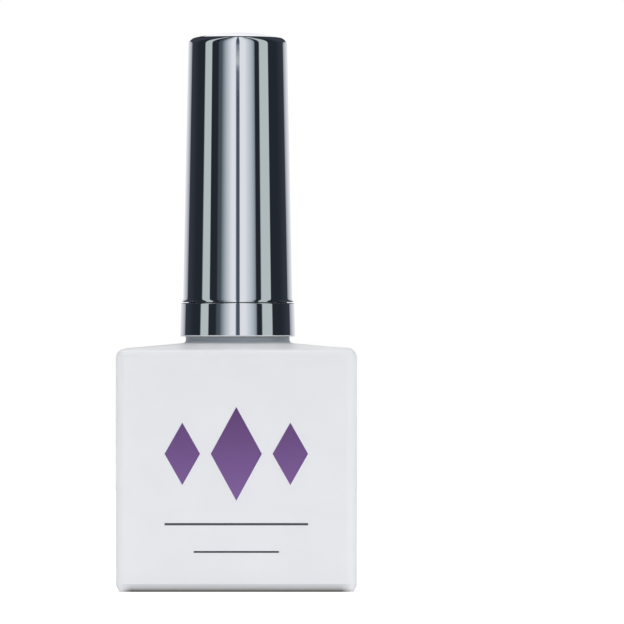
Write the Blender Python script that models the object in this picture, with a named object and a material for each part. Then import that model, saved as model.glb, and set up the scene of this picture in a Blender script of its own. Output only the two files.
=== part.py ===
"""Square nail polish bottle with a tall mirror-bright screw cap and its brush.

Metres, +Z up. The origin is at the centre of the base, where the bottle stands, and the front
face looks towards -Y. Every turned or moving piece shares the upright axis through the origin.
"""

from math import cos, pi, radians, sin

import bmesh
import bpy

MM = 0.001

# Bottle body
BODY_HALF = 17.0 * MM
BODY_CORNER = 1.5 * MM              # radius of the four upright edges
EDGE_RADIUS = 1.25 * MM             # heel and shoulder edges
SHOULDER_TANGENT = 33.0 * MM        # where the flat faces end and the shoulder edge begins
SHOULDER_SLOPE = 5.3                # degrees, rising to the neck
RECESS_HALF = 13.5 * MM
RECESS_CORNER = 2.0 * MM
RECESS_DRAFT = 0.4 * MM
RECESS_DEPTH = 0.8 * MM

# Cavity in the glass
WALL = 2.2 * MM
CAVITY_HALF = BODY_HALF - WALL
CAVITY_CORNER = 3.0 * MM
CAVITY_EDGE = 2.0 * MM
CAVITY_FLOOR = 3.2 * MM
CAVITY_TOP = 32.1 * MM
THROAT = [(3.3 * MM, 36.2 * MM), (3.8 * MM, 34.6 * MM), (5.4 * MM, 33.1 * MM)]

# Neck finish
NECK_FOOT = 35.0 * MM
NECK_FILLET = 0.45 * MM
FILLET_START = 265                  # degrees, where the fillet leaves the shoulder
LEDGE_RADIUS = 7.45 * MM            # clear inside the collar, which comes down over it
LEDGE_TOP = 36.1 * MM
LEDGE_CHAMFER = 0.12 * MM
NECK_ROOT = 5.65 * MM
NECK_ROOT_FILLET = 0.35 * MM
NECK_CREST = 6.35 * MM
NECK_BLEND = 5.25 * MM              # how deep the thread ridge is sunk into the neck
RIM = 46.35 * MM
RIM_ROUND = 0.45 * MM
BORE = 3.3 * MM
BORE_ROUND = 0.3 * MM

# Screw thread: one start, right-handed
PITCH = 25.4 * MM / 12
TURNS = 1.5
BOTTLE_THREAD_START = 41.75 * MM
THREAD_DROP = 0.86 * MM             # the cap's ridge bears up against the underside of the bottle's
THREAD_ROOT_HALF = 0.55 * MM
THREAD_TIP_HALF = 0.25 * MM
THREAD_FADE = 5                     # columns over which each end of a ridge sinks into the wall

# Inner cap
SKIRT_BOTTOM = 36.4 * MM
SKIRT_BORE = 6.55 * MM
SKIRT_LEAD_IN = 0.3 * MM
SKIRT_CREST = 5.9 * MM
SKIRT_RADIUS_LOW = 7.12 * MM
SKIRT_RADIUS_HIGH = 7.0 * MM
FLANGE_RADIUS = 7.6 * MM
FLANGE_TOP = 36.85 * MM
PLATE_BOTTOM = 47.3 * MM
PLATE_TOP = 49.0 * MM
POST_RADIUS = 2.7 * MM
POST_BEAD = 2.95 * MM
POST_BOTTOM = 42.7 * MM
BEAD_FOOT = 0.25 * MM
SOCKET_RADIUS = 1.75 * MM
SOCKET_TOP = 53.6 * MM
TOWER_RADIUS = 3.0 * MM
TOWER_TIP_RADIUS = 2.6 * MM
TOWER_TOP = 55.0 * MM
SNAP_HEIGHT = 47.9 * MM
SNAP_GROOVE_RADIUS = 6.8 * MM
SNAP_GROOVE_HALF = 0.4 * MM
SNAP_BEAD_RADIUS = 6.93 * MM
SNAP_BEAD_HALF = 0.15 * MM

# Drive: fins on the inner cap, each between two ribs inside the shell
FINS = 3
FIN_INNER = 2.2 * MM
FIN_OUTER = 6.1 * MM
FIN_WIDTH = 0.9 * MM
FIN_TOP = 53.8 * MM
RIB_INNER = 4.6 * MM
RIB_OUTER = 7.2 * MM
RIB_WIDTH = 0.8 * MM
RIB_PLAY = 0.15 * MM
RIB_BOTTOM = 49.4 * MM
RIB_TOP = 58.0 * MM
BLEND = 0.3 * MM                    # how far a joined block is sunk into what carries it

# Shell
SHELL_BOTTOM = 40.9 * MM
SHELL_RADIUS_LOW = 7.81 * MM        # at the top of the flare
SHELL_RADIUS_HIGH = 7.07 * MM       # where the top corner begins
FLARE_RADIUS = 0.9 * MM             # of the concave arc at the foot
FLARE_TURN = 42                     # degrees that the arc turns through
SHELL_FLARE_TOP = SHELL_BOTTOM + FLARE_RADIUS * sin(radians(FLARE_TURN))
SHELL_CORNER_START = 77.6 * MM
SHELL_CORNER = 1.2 * MM
SHELL_CORNER_STEPS = 4
CROWN_SLOPE = 13.5                  # degrees, where the corner meets the domed crown
CROWN_RINGS = (0.75, 0.5, 0.2)      # shares of the crown's radius
SHELL_TOP = 79.5 * MM
SHELL_WALL = 0.6 * MM
SHELL_CEILING = 78.0 * MM
CEILING_CORNER = 0.45 * MM

# Collar ring, trapped between the inner cap's flange and the shell
COLLAR_BOTTOM = 35.95 * MM
COLLAR_TOP = 40.75 * MM
COLLAR_RADIUS_LOW = 8.23 * MM
COLLAR_RADIUS_HIGH = 8.1 * MM
COLLAR_BORE = 7.3 * MM
COLLAR_EDGE = 0.22 * MM
COLLAR_PLAY = 0.15 * MM

# Sealing liner: a film and a foam ring, loose round the post
LINER_BORE = 2.82 * MM
FILM_RADIUS = 5.8 * MM
FILM_BOTTOM = 46.4 * MM
FILM_TOP = 46.65 * MM
FOAM_RADIUS = 6.3 * MM
FOAM_BOTTOM = 46.7 * MM
FOAM_TOP = 47.25 * MM

# Brush
STEM_RADIUS = 1.5 * MM
HEAD_RADIUS = 1.65 * MM
HEAD_TOP = 53.3 * MM
STOP_RADIUS = 2.25 * MM
STOP_TOP = 42.55 * MM
STOP_HEIGHT = 0.85 * MM
FERRULE_RADIUS = 1.95 * MM
FERRULE_TOP = 23.6 * MM
FERRULE_TAPER = 1.6 * MM
STEM_TIP = 19.2 * MM
STEM_EDGE = 0.25 * MM               # chamfers at the tip and the head
POCKET_RADIUS = 1.4 * MM
POCKET_TOP = 23.2 * MM
TUFT_ROOT_RADIUS = 1.3 * MM
TUFT_ROOT_TOP = 22.9 * MM
TUFT_GAP = 0.2 * MM                 # between the belly and the end of the stem
TUFT_RADIUS = 2.3 * MM
TUFT_TIP = 5.2 * MM
ANCHOR_SIZE = (2.3 * MM, 0.35 * MM, 1.1 * MM)
ANCHOR_MIDDLE = 22.2 * MM
ANCHOR_PLAY = 0.1 * MM

# Polish and base label
POLISH_LEVEL = 26.2 * MM
POLISH_GAP = 0.15 * MM              # between the polish and the glass
CHANNEL_RADIUS = 2.9 * MM           # the room that the brush takes up in the polish
CHANNEL_BOTTOM = 4.4 * MM
LABEL_HALF = 12.4 * MM
LABEL_CORNER = 1.6 * MM
LABEL_BOTTOM = 0.5 * MM
LABEL_TOP = 0.7 * MM

# Facets
CORNER_STEPS = 3                    # on each upright corner of the body
SIDE_POINTS = 6                     # along each side, between two corners
LEAST_CORNER = 0.1 * MM             # of a rounded square drawn far in from its side
COLUMNS = 4 * (CORNER_STEPS + 1 + SIDE_POINTS)
FIRST_ANGLE = pi / 4 - CORNER_STEPS * pi / COLUMNS
ARC_STEPS = 3
SHELL_COLUMNS = 48
BRUSH_COLUMNS = 24
SMOOTH_ANGLE = radians(35)

# name: (base colour, roughness, metallic)
MATERIALS = {
    "white_lacquered_glass": ((0.80, 0.81, 0.84, 1.0), 0.12, 0.0),
    "mirror_metal": ((0.82, 0.83, 0.85, 1.0), 0.05, 1.0),
    "natural_plastic": ((0.78, 0.78, 0.74, 1.0), 0.40, 0.0),
    "liner_foam": ((0.88, 0.87, 0.84, 1.0), 0.85, 0.0),
    "liner_film": ((0.92, 0.92, 0.90, 1.0), 0.30, 0.0),
    "black_plastic": ((0.03, 0.03, 0.03, 1.0), 0.30, 0.0),
    "nylon_bristle": ((0.10, 0.08, 0.07, 1.0), 0.45, 0.0),
    "staple_brass": ((0.75, 0.60, 0.30, 1.0), 0.30, 1.0),
    "mauve_polish": ((0.48, 0.26, 0.27, 1.0), 0.10, 0.0),
    "label_paper": ((0.90, 0.90, 0.88, 1.0), 0.60, 0.0),
}


def clear_scene():
    for old in list(bpy.data.objects):
        bpy.data.objects.remove(old, do_unlink=True)


def material(name):
    if name in bpy.data.materials:
        return bpy.data.materials[name]
    colour, roughness, metallic = MATERIALS[name]
    made = bpy.data.materials.new(name)
    made.use_nodes = True
    shader = made.node_tree.nodes["Principled BSDF"]
    shader.inputs["Base Color"].default_value = colour
    shader.inputs["Roughness"].default_value = roughness
    shader.inputs["Metallic"].default_value = metallic
    return made


# Rings: loops of points, anticlockwise seen from above


def circle(radius, height, columns=COLUMNS):
    angles = [FIRST_ANGLE + 2 * pi * k / columns for k in range(columns)]
    return [(radius * cos(a), radius * sin(a), height) for a in angles]


def rounded_square(half, corner, height):
    """An arc at each corner, then points along the side to the next corner."""
    inner = half - corner
    angles = [pi / 2 * step / CORNER_STEPS for step in range(CORNER_STEPS + 1)]
    shares = [step / (SIDE_POINTS + 1) for step in range(1, SIDE_POINTS + 1)]
    quarter = [(inner + corner * cos(a), inner + corner * sin(a)) for a in angles]
    quarter += [(inner - 2 * inner * share, half) for share in shares]
    quarter_turns = [(1, 0), (0, 1), (-1, 0), (0, -1)]
    return [(x * c - y * s, x * s + y * c, height) for c, s in quarter_turns for x, y in quarter]


def turned(profile, columns=COLUMNS):
    """Rings through (radius, height) points."""
    return [circle(radius, height, columns) for radius, height in profile]


def squared(half, corner, profile):
    """Rings through (inset from the side, height) points, round a rounded square."""
    return [
        rounded_square(half - inset, max(corner - inset, LEAST_CORNER), height)
        for inset, height in profile
    ]


def arc(out, up, radius, start, end, steps=ARC_STEPS):
    """(out, up) points on an arc round a centre, from one angle in degrees to another."""
    angles = [radians(start + (end - start) * step / steps) for step in range(steps + 1)]
    return [(out + radius * cos(a), up + radius * sin(a)) for a in angles]


def edge_arc(height, radius, start, end):
    """An arc that rounds the outer edge of a squared shape, as (inset, height) points."""
    return [(radius - out, up) for out, up in arc(0, height, radius, start, end)]


# Solids


def make_object(name, mesh, finish, datum=0.0):
    data = bpy.data.meshes.new(name)
    mesh.to_mesh(data)
    mesh.free()
    if finish:
        data.materials.append(material(finish))
        data.shade_smooth()
        data.set_sharp_from_angle(angle=SMOOTH_ANGLE)
    made = bpy.data.objects.new(name, data)
    made.location.z = datum
    bpy.context.collection.objects.link(made)
    return made


def loft(name, rings, finish, datum=0.0, closed=False):
    """A solid skinned over rings, up its outside and down its inside.

    The first and last rings are filled or, if it is closed, joined to each other. The object's
    origin is on the axis at the datum height.
    """
    mesh = bmesh.new()
    loops = [[mesh.verts.new((x, y, z - datum)) for x, y, z in ring] for ring in rings]
    pairs = list(zip(loops, loops[1:]))
    if closed:
        pairs.append((loops[-1], loops[0]))
    else:
        mesh.faces.new(list(reversed(loops[0])))
        mesh.faces.new(loops[-1])
    for here, there in pairs:
        for k in range(len(here)):
            after = (k + 1) % len(here)
            mesh.faces.new((here[k], here[after], there[after], there[k]))
    return make_object(name, mesh, finish, datum)


def block(name, size, centre, turn=0.0, finish=None, datum=0.0):
    """A rectangular block, turned about the upright axis."""
    mesh = bmesh.new()
    bmesh.ops.create_cube(mesh, size=1.0)
    for vert in mesh.verts:
        x, y, z = (vert.co[k] * size[k] + centre[k] for k in range(3))
        vert.co = (x * cos(turn) - y * sin(turn), x * sin(turn) + y * cos(turn), z - datum)
    return make_object(name, mesh, finish, datum)


def radial_block(name, inner, outer, offset, width, bottom, top, turn):
    """An upright plate that runs out from the axis, set off to one side of a radius."""
    size = (outer - inner, width, top - bottom)
    return block(name, size, ((inner + outer) / 2, offset, (bottom + top) / 2), turn)


def combine(target, helper, operation):
    """Join a helper solid to a target, or cut it away. The helper stays as a wire guide."""
    helper.hide_render = True
    helper.display_type = "WIRE"
    helper.parent = target
    helper.location.z -= target.location.z
    change = target.modifiers.new(helper.name, "BOOLEAN")
    change.operation = operation
    change.solver = "EXACT"
    change.object = helper


def thread_ridge(name, start, root, crest, foot):
    """A ridge along the helix, from its wall at root to its crest, with its foot buried at foot."""
    stations = round(TURNS * COLUMNS)
    sunk = root + (foot - root) / 3
    flank = (THREAD_ROOT_HALF - THREAD_TIP_HALF) / abs(crest - root)
    foot_half = THREAD_ROOT_HALF + flank * abs(foot - root)
    mesh = bmesh.new()
    sections = []
    for k in range(stations + 1):
        angle = FIRST_ANGLE + 2 * pi * k / COLUMNS
        height = start + PITCH * k / COLUMNS
        share = min(1.0, k / THREAD_FADE, (stations - k) / THREAD_FADE)
        top = sunk + (crest - sunk) * share
        corners = [(foot, -foot_half), (top, -THREAD_TIP_HALF), (top, THREAD_TIP_HALF), (foot, foot_half)]
        sections.append([mesh.verts.new((r * cos(angle), r * sin(angle), height + up)) for r, up in corners])
    mesh.faces.new(sections[0])
    mesh.faces.new(list(reversed(sections[-1])))
    for here, there in zip(sections, sections[1:]):
        for k in range(len(here)):
            after = (k + 1) % len(here)
            mesh.faces.new((here[k], there[k], there[after], here[after]))
    bmesh.ops.recalc_face_normals(mesh, faces=mesh.faces)
    return make_object(name, mesh, None)


# Bottle


def bottle_outside():
    """From the recess under the base, round the heel and up to the end of the shoulder's edge."""
    recess = [
        rounded_square(RECESS_HALF - RECESS_DRAFT, RECESS_CORNER, RECESS_DEPTH),
        rounded_square(RECESS_HALF, RECESS_CORNER, 0.0),
    ]
    heel = edge_arc(EDGE_RADIUS, EDGE_RADIUS, -90, 0)
    shoulder = edge_arc(SHOULDER_TANGENT, EDGE_RADIUS, 0, 90 - SHOULDER_SLOPE)
    return recess + squared(BODY_HALF, BODY_CORNER, heel + shoulder)


def neck_outside():
    """From the shoulder over the ledge, up the threaded wall, over the rim and into the bore."""
    profile = arc(LEDGE_RADIUS + NECK_FILLET, NECK_FOOT + NECK_FILLET, NECK_FILLET, FILLET_START, 180)
    profile += [
        (LEDGE_RADIUS, LEDGE_TOP - LEDGE_CHAMFER),
        (LEDGE_RADIUS - LEDGE_CHAMFER, LEDGE_TOP),
        (NECK_ROOT + NECK_ROOT_FILLET, LEDGE_TOP),
        (NECK_ROOT, LEDGE_TOP + NECK_ROOT_FILLET),
    ]
    profile += arc(NECK_ROOT - RIM_ROUND, RIM - RIM_ROUND, RIM_ROUND, 0, 90, 2)
    profile += arc(BORE + BORE_ROUND, RIM - BORE_ROUND, BORE_ROUND, 90, 180, 2)
    return turned(profile)


def cavity():
    """From under the shoulder down the cavity's wall to its floor."""
    upper = edge_arc(CAVITY_TOP - CAVITY_EDGE, CAVITY_EDGE, 90, 0)
    lower = edge_arc(CAVITY_FLOOR + CAVITY_EDGE, CAVITY_EDGE, 0, -90)
    return squared(CAVITY_HALF, CAVITY_CORNER, upper + lower)


def glass_bottle():
    rings = bottle_outside() + neck_outside() + turned(THROAT) + cavity()
    bottle = loft("glass_bottle", rings, "white_lacquered_glass")
    ridge = thread_ridge("bottle_thread_guide", BOTTLE_THREAD_START, NECK_ROOT, NECK_CREST, NECK_BLEND)
    combine(bottle, ridge, "UNION")
    return bottle


def polish_fill():
    """The polish, with room for the brush to stand in it."""
    edge = CAVITY_EDGE - POLISH_GAP
    profile = edge_arc(CAVITY_FLOOR + CAVITY_EDGE, edge, -90, 0)
    profile.append((0.0, POLISH_LEVEL))
    rings = squared(CAVITY_HALF - POLISH_GAP, CAVITY_CORNER - POLISH_GAP, profile)
    rings += turned([(CHANNEL_RADIUS, POLISH_LEVEL), (CHANNEL_RADIUS, CHANNEL_BOTTOM)])
    return loft("polish_fill", rings, "mauve_polish")


def base_label():
    rings = [rounded_square(LABEL_HALF, LABEL_CORNER, height) for height in (LABEL_BOTTOM, LABEL_TOP)]
    return loft("base_label", rings, "label_paper")


# Cap


def inner_cap():
    """From the socket's end down its bore, up the post, down the skirt, up its outside, to the tower."""
    socket = [
        (SOCKET_RADIUS, SOCKET_TOP),
        (SOCKET_RADIUS, POST_BOTTOM + BEAD_FOOT),
        (SOCKET_RADIUS + BEAD_FOOT, POST_BOTTOM),
    ]
    post = [
        (POST_RADIUS, POST_BOTTOM),
        (POST_BEAD, POST_BOTTOM + BEAD_FOOT / 2),
        (POST_BEAD, POST_BOTTOM + BEAD_FOOT),
        (POST_RADIUS, POST_BOTTOM + 2 * BEAD_FOOT),
        (POST_RADIUS, PLATE_BOTTOM),
    ]
    skirt_inside = [
        (SKIRT_BORE, PLATE_BOTTOM),
        (SKIRT_BORE, SKIRT_BOTTOM + SKIRT_LEAD_IN),
        (SKIRT_BORE + SKIRT_LEAD_IN, SKIRT_BOTTOM),
    ]
    skirt_outside = [
        (FLANGE_RADIUS, SKIRT_BOTTOM),
        (FLANGE_RADIUS, FLANGE_TOP),
        (SKIRT_RADIUS_LOW, FLANGE_TOP),
        (SKIRT_RADIUS_HIGH, SNAP_HEIGHT - SNAP_GROOVE_HALF),
        (SNAP_GROOVE_RADIUS, SNAP_HEIGHT - SNAP_GROOVE_HALF),
        (SNAP_GROOVE_RADIUS, SNAP_HEIGHT + SNAP_GROOVE_HALF),
        (SKIRT_RADIUS_HIGH, SNAP_HEIGHT + SNAP_GROOVE_HALF),
        (SNAP_GROOVE_RADIUS, PLATE_TOP),
    ]
    tower = [(TOWER_RADIUS, PLATE_TOP), (TOWER_TIP_RADIUS, TOWER_TOP)]
    rings = turned(socket + post + skirt_inside + skirt_outside + tower)
    cap = loft("inner_cap", rings, "natural_plastic", datum=RIM)
    start = BOTTLE_THREAD_START - THREAD_DROP
    ridge = thread_ridge("cap_thread_guide", start, SKIRT_BORE, SKIRT_CREST, SKIRT_BORE + BLEND)
    combine(cap, ridge, "UNION")
    for k in range(FINS):
        turn = 2 * pi * k / FINS
        fin = radial_block(
            f"fin_guide_{k}", FIN_INNER, FIN_OUTER, 0.0, FIN_WIDTH, PLATE_TOP - BLEND, FIN_TOP, turn
        )
        combine(cap, fin, "UNION")
    return cap


def shell_radius(height):
    """The shell's outer radius along its straight taper."""
    share = (height - SHELL_FLARE_TOP) / (SHELL_CORNER_START - SHELL_FLARE_TOP)
    return SHELL_RADIUS_LOW + (SHELL_RADIUS_HIGH - SHELL_RADIUS_LOW) * share


def shell_inside():
    """From the ceiling down the wall, over the snap bead, to the open foot."""
    wall_top = SHELL_CEILING - CEILING_CORNER
    profile = [(shell_radius(wall_top) - SHELL_WALL - CEILING_CORNER, SHELL_CEILING)]
    profile.append((shell_radius(wall_top) - SHELL_WALL, wall_top))
    for lift in (2, 1, -1, -2):
        height = SNAP_HEIGHT + lift * SNAP_BEAD_HALF
        beyond = abs(lift) == 2
        profile.append((shell_radius(height) - SHELL_WALL if beyond else SNAP_BEAD_RADIUS, height))
    profile.append((shell_radius(SHELL_BOTTOM) - SHELL_WALL, SHELL_BOTTOM))
    return profile


def shell_outside():
    """Up from the foot through the concave flare and the taper, round the corner, over the crown."""
    profile = arc(SHELL_RADIUS_LOW + FLARE_RADIUS, SHELL_FLARE_TOP, FLARE_RADIUS, 180 + FLARE_TURN, 180)
    middle = SHELL_RADIUS_HIGH - SHELL_CORNER
    end = 90 - CROWN_SLOPE
    profile += arc(middle, SHELL_CORNER_START, SHELL_CORNER, 0, end, SHELL_CORNER_STEPS)
    crown_radius, crown_foot = profile[-1]
    for share in CROWN_RINGS:
        rise = (SHELL_TOP - crown_foot) * (1 - share ** 2)
        profile.append((crown_radius * share, crown_foot + rise))
    profile.append((crown_radius * CROWN_RINGS[-1] / 2, SHELL_TOP))
    return profile


def cap_shell():
    """A tall one-piece cup with pairs of ribs that hold the inner cap's fins."""
    rings = turned(shell_inside() + shell_outside(), SHELL_COLUMNS)
    shell = loft("cap_shell", rings, "mirror_metal", datum=SHELL_BOTTOM)
    offset = (FIN_WIDTH + RIB_WIDTH) / 2 + RIB_PLAY
    for k in range(FINS):
        turn = 2 * pi * k / FINS
        for side in (-1, 1):
            name = f"rib_guide_{k}_{side}"
            rib = radial_block(
                name, RIB_INNER, RIB_OUTER, side * offset, RIB_WIDTH, RIB_BOTTOM, RIB_TOP, turn
            )
            combine(shell, rib, "UNION")
    return shell


def cap_collar():
    low = COLLAR_RADIUS_LOW - COLLAR_EDGE
    high = COLLAR_RADIUS_HIGH - COLLAR_EDGE
    seat = FLANGE_TOP + COLLAR_PLAY
    profile = arc(low, COLLAR_BOTTOM + COLLAR_EDGE, COLLAR_EDGE, -90, 0)
    profile += arc(high, COLLAR_TOP - COLLAR_EDGE, COLLAR_EDGE, 0, 90)
    profile += [
        (COLLAR_BORE, COLLAR_TOP),
        (COLLAR_BORE, seat),
        (FLANGE_RADIUS + COLLAR_PLAY, seat),
        (FLANGE_RADIUS + COLLAR_PLAY, COLLAR_BOTTOM),
    ]
    return loft("cap_collar", turned(profile, SHELL_COLUMNS), "mirror_metal", COLLAR_BOTTOM, closed=True)


def washer(name, radius, bottom, top, finish):
    profile = [(radius, bottom), (radius, top), (LINER_BORE, top), (LINER_BORE, bottom)]
    return loft(name, turned(profile), finish, datum=bottom, closed=True)


# Brush


def brush_stem():
    """From the end of the bristle pocket down to the tip, then up the outside to the head."""
    profile = [
        (POCKET_RADIUS, POCKET_TOP),
        (POCKET_RADIUS, STEM_TIP),
        (FERRULE_RADIUS - STEM_EDGE, STEM_TIP),
        (FERRULE_RADIUS, STEM_TIP + STEM_EDGE),
        (FERRULE_RADIUS, FERRULE_TOP),
        (STEM_RADIUS, FERRULE_TOP + FERRULE_TAPER),
        (STEM_RADIUS, STOP_TOP - STOP_HEIGHT - (STOP_RADIUS - STEM_RADIUS)),
        (STOP_RADIUS, STOP_TOP - STOP_HEIGHT),
        (STOP_RADIUS, STOP_TOP),
        (HEAD_RADIUS, STOP_TOP),
        (HEAD_RADIUS, HEAD_TOP - STEM_EDGE),
        (HEAD_RADIUS - STEM_EDGE, HEAD_TOP),
    ]
    return loft("brush_stem", turned(profile, BRUSH_COLUMNS), "black_plastic", datum=STOP_TOP)


def bristle_tuft():
    """The bundle's outer form: a rounded tip, a belly, and a root slotted over the anchor."""
    free = STEM_TIP - TUFT_TIP
    belly = [(0.2, 0.0), (0.6, 0.02), (0.85, 0.08), (0.97, 0.19), (1.0, 0.36), (0.97, 0.65), (0.84, 0.87)]
    profile = [(TUFT_RADIUS * share, TUFT_TIP + free * rise) for share, rise in belly]
    profile.append((TUFT_ROOT_RADIUS, STEM_TIP - TUFT_GAP))
    profile.append((TUFT_ROOT_RADIUS, TUFT_ROOT_TOP))
    tuft = loft("bristle_tuft", turned(profile, BRUSH_COLUMNS), "nylon_bristle", datum=STEM_TIP)
    length, width, height = ANCHOR_SIZE
    slot_bottom = ANCHOR_MIDDLE - height / 2 - ANCHOR_PLAY
    slot_top = TUFT_ROOT_TOP + BLEND
    slot = block(
        "anchor_slot_guide",
        (2 * length, width + 2 * ANCHOR_PLAY, slot_top - slot_bottom),
        (0.0, 0.0, (slot_top + slot_bottom) / 2),
    )
    combine(tuft, slot, "DIFFERENCE")
    return tuft


def brush_anchor():
    return block("brush_anchor", ANCHOR_SIZE, (0.0, 0.0, ANCHOR_MIDDLE), 0.0, "staple_brass", ANCHOR_MIDDLE)


def gather(name, height, pieces):
    """Parent pieces to an empty on the axis, leaving them where they are."""
    frame = bpy.data.objects.new(name, None)
    frame.location.z = height
    bpy.context.collection.objects.link(frame)
    for piece in pieces:
        piece.parent = frame
        piece.location.z -= height


def main():
    clear_scene()
    glass_bottle()
    polish_fill()
    base_label()
    washer("liner_film", FILM_RADIUS, FILM_BOTTOM, FILM_TOP, "liner_film")
    washer("liner_foam", FOAM_RADIUS, FOAM_BOTTOM, FOAM_TOP, "liner_foam")
    gather("cap_axis", RIM, [inner_cap(), cap_shell(), cap_collar()])
    gather("brush_axis", STOP_TOP, [brush_stem(), bristle_tuft(), brush_anchor()])


main()
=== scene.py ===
"""Looks of the square nail polish bottle: lacquered glass, mirror cap, brush, liner and polish.

Metres, +Z up, in the CAD part's frame. The origin is at the centre of the base, and the front
face looks towards -Y. Fine smooth pieces stand for the faceted CAD nodes, at the same sizes.
"""

from math import atan2, cos, pi, radians, sin, sqrt, tan
from random import Random

import bmesh
import bpy
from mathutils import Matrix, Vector


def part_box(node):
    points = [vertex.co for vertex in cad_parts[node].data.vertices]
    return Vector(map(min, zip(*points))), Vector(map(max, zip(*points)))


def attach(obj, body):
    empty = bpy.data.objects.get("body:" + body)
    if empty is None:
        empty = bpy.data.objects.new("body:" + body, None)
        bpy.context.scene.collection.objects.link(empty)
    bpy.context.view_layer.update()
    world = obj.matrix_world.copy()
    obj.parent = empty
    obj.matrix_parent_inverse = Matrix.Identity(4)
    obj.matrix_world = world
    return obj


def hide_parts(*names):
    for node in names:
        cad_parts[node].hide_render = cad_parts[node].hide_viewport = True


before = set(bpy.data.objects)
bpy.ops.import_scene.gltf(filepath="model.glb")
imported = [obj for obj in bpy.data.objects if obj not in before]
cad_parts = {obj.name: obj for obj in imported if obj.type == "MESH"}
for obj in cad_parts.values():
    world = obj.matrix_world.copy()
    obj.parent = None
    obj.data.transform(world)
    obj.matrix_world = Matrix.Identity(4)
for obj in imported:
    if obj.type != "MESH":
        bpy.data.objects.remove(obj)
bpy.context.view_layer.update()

MM = 0.001


def bottom(node):
    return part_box(node)[0].z


def top(node):
    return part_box(node)[1].z


# Bottle body
BODY_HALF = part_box("glass_bottle")[1].x
BODY_CORNER = 1.5 * MM
EDGE_RADIUS = 1.25 * MM  # heel and shoulder edges
SHOULDER_TANGENT = 33.0 * MM  # where the flat faces end and the shoulder edge begins
SHOULDER_SLOPE = 5.3  # degrees, rising to the neck
RECESS_HALF = 13.5 * MM
RECESS_CORNER = 2.0 * MM
RECESS_DRAFT = 0.4 * MM
RECESS_DEPTH = 0.8 * MM
RECESS_BEVEL = 0.1 * MM  # round its lip

# Cavity in the glass
CAVITY_HALF = 14.8 * MM
CAVITY_CORNER = 3.0 * MM
CAVITY_EDGE = 2.0 * MM
CAVITY_FLOOR = 3.2 * MM
CAVITY_TOP = 32.1 * MM
THROAT = [(3.3 * MM, 36.2 * MM), (3.8 * MM, 34.6 * MM), (5.4 * MM, 33.1 * MM)]

# Neck finish
NECK_FOOT = 35.0 * MM
NECK_FILLET = 0.45 * MM
FILLET_START = 265  # degrees, where the fillet leaves the shoulder
LEDGE_RADIUS = 7.45 * MM  # clear inside the collar, which comes down over it
LEDGE_TOP = 36.1 * MM
LEDGE_ROUND = 0.12 * MM
NECK_ROOT_FILLET = 0.35 * MM
NECK_ROOT = 5.65 * MM
NECK_ROOT_TOP = LEDGE_TOP + 1 * MM
NECK_WALL_FOOT = LEDGE_TOP + 1.1 * MM
NECK_CREST = 6.35 * MM
RIM = top("glass_bottle")
RIM_ROUND = 0.45 * MM
BORE = 3.3 * MM
BORE_ROUND = 0.3 * MM

# Screw thread
PITCH = 25.4 * MM / 12
TURNS = 1.5
THREAD_ANGLE = radians(31.5)  # where the ridges start, round from +X
BOTTLE_THREAD_START = 41.75 * MM
CAP_THREAD_START = 40.89 * MM
THREAD_ROOT_HALF = 0.55 * MM
THREAD_TIP_HALF = 0.25 * MM
THREAD_FADE = 0.125  # turns over which each end of a ridge sinks into the wall
WALL_STEP = 0.12 * MM  # between the rings of a threaded wall

# Inner cap
SKIRT_BOTTOM = bottom("inner_cap")
SKIRT_BORE = 6.55 * MM
SKIRT_CREST = 5.9 * MM
SKIRT_LEAD_IN = 0.3 * MM
SKIRT_RADIUS_LOW = 7.12 * MM
SKIRT_RADIUS_HIGH = 7.0 * MM
FLANGE_RADIUS = 7.6 * MM
FLANGE_TOP = 36.85 * MM
PLATE_BOTTOM = 47.3 * MM
PLATE_TOP = 49.0 * MM
SKIRT_WALL_BOTTOM = SKIRT_BOTTOM + SKIRT_LEAD_IN
SKIRT_WALL_TOP = PLATE_BOTTOM - 0.4 * MM
POST_RADIUS = 2.7 * MM
POST_BEAD = 2.95 * MM
POST_BOTTOM = 42.7 * MM
BEAD_FOOT = 0.25 * MM
SOCKET_RADIUS = 1.75 * MM
SOCKET_TOP = 53.6 * MM
TOWER_RADIUS = 3.0 * MM
TOWER_TIP_RADIUS = 2.6 * MM
TOWER_TOP = top("inner_cap")
SNAP_HEIGHT = 47.9 * MM
SNAP_GROOVE_RADIUS = 6.8 * MM
SNAP_GROOVE_HALF = 0.4 * MM
SNAP_BEAD_RADIUS = 6.93 * MM
SNAP_BEAD_HALF = 0.3 * MM

# Drive between the inner cap and the shell
FINS = 3
FIN_TURNS = [2 * pi * k / FINS for k in range(FINS)]
FIN_INNER = 2.2 * MM
FIN_OUTER = 6.1 * MM
FIN_WIDTH = 0.9 * MM
FIN_TOP = 53.8 * MM
RIB_INNER = 4.6 * MM
RIB_OUTER = 7.2 * MM
RIB_WIDTH = 0.8 * MM
RIB_PLAY = 0.15 * MM
RIB_BOTTOM = 49.4 * MM
RIB_TOP = 58.0 * MM
BLEND = 0.3 * MM

# Shell
SHELL_BOTTOM = bottom("cap_shell")
SHELL_TOP = top("cap_shell")
SHELL_RADIUS_LOW = 7.81 * MM  # at the top of the flare
SHELL_RADIUS_HIGH = 7.07 * MM  # where the top corner begins
FLARE_RADIUS = 0.9 * MM  # of the concave arc at the foot
FLARE_TURN = 42  # degrees that the arc turns through
FLARE_TOP = SHELL_BOTTOM + FLARE_RADIUS * sin(radians(FLARE_TURN))
SHELL_CORNER_START = 77.6 * MM
SHELL_CORNER = 1.2 * MM
CROWN_SLOPE = 13.5  # degrees, where the corner meets the domed crown
SHELL_WALL = 0.6 * MM
SHELL_CEILING = 78.0 * MM
SHELL_CEILING_ROUND = 0.45 * MM

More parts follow.
